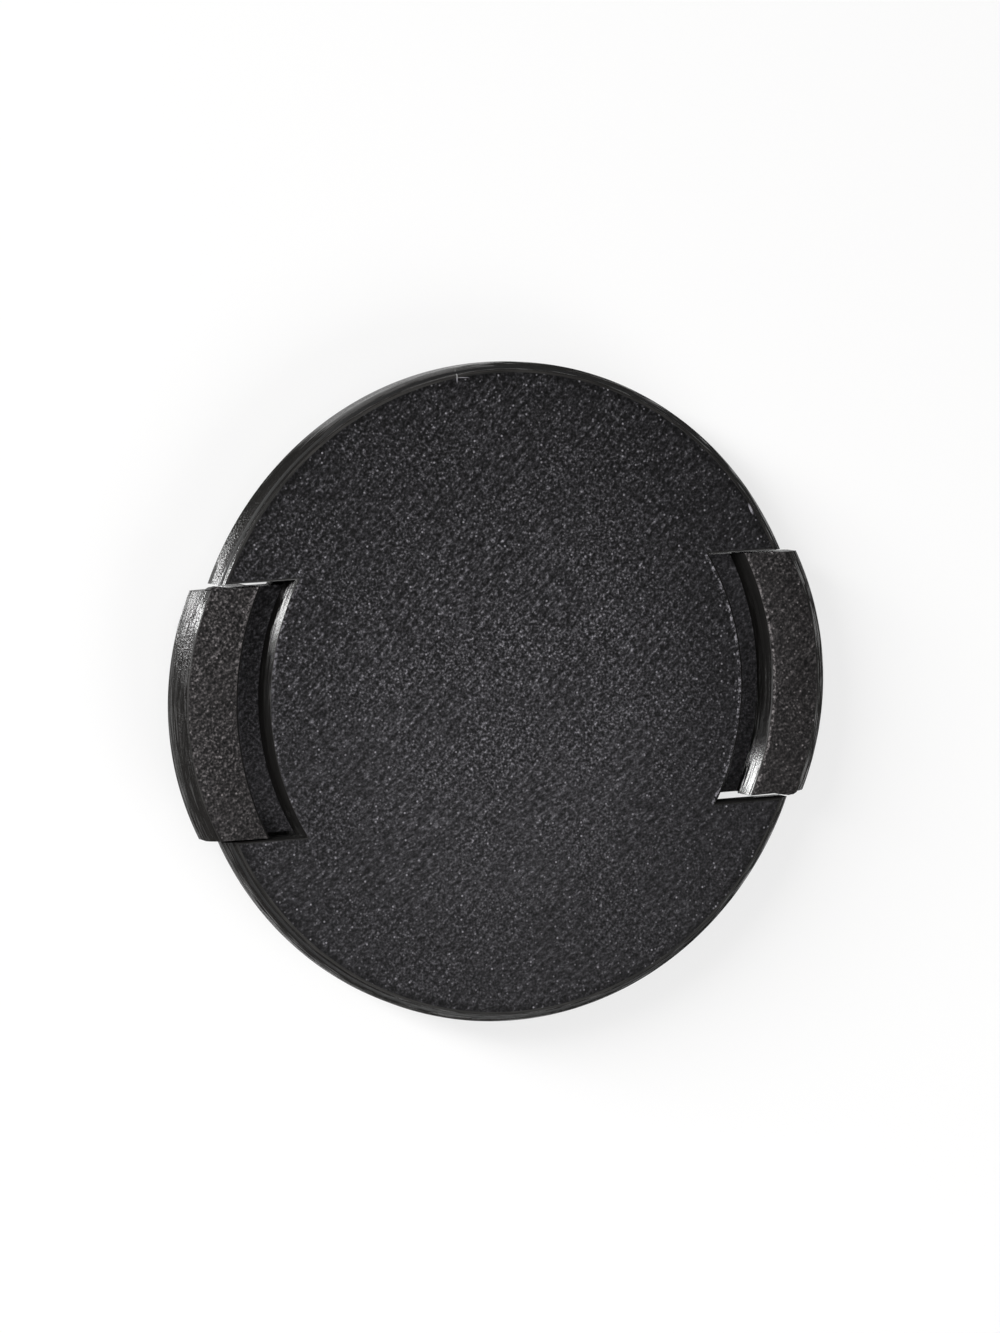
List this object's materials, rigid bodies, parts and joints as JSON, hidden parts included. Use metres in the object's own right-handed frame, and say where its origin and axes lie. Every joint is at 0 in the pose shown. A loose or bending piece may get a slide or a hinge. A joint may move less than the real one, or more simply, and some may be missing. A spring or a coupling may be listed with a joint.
{
  "type": "camera lens cap",
  "caption": "Round side-pinch lens cap: a flat notched front plate with sprung sliding latches that grip the filter thread of a lens.",
  "frame": {"origin": "centre of the back face, on the surface that the cap lies on", "axes": "+Z out of the front face, +X along the two latches towards the right one, +Y up the front face"},
  "size_m": [0.0456, 0.043, 0.006],
  "materials": {
    "cover_plastic": "black printed plastic, fine plate grain",
    "latch_plastic": "black printed plastic, fine plate grain",
    "rear_plastic": "black printed plastic",
    "spring_steel": "drawn spring wire"
  },
  "bodies": {
    "cover": {"front_cover": "cover_plastic", "rear_plate": "rear_plastic", "left_spring": "spring_steel", "right_spring": "spring_steel"},
    "left_latch": {"left_latch": "latch_plastic"},
    "right_latch": {"right_latch": "latch_plastic"}
  },
  "joints": [
    {"name": "left_latch_slide", "type": "slide", "parent": "cover", "child": "left_latch", "axis": [1, 0, 0], "range_m": [0, 0.0018], "stiffness_N_per_m": 200, "springref_m": -0.006, "deforming": ["left_spring"]},
    {"name": "right_latch_slide", "type": "slide", "parent": "cover", "child": "right_latch", "axis": [-1, 0, 0], "range_m": [0, 0.0018], "stiffness_N_per_m": 200, "springref_m": -0.006, "deforming": ["right_spring"]}
  ]
}
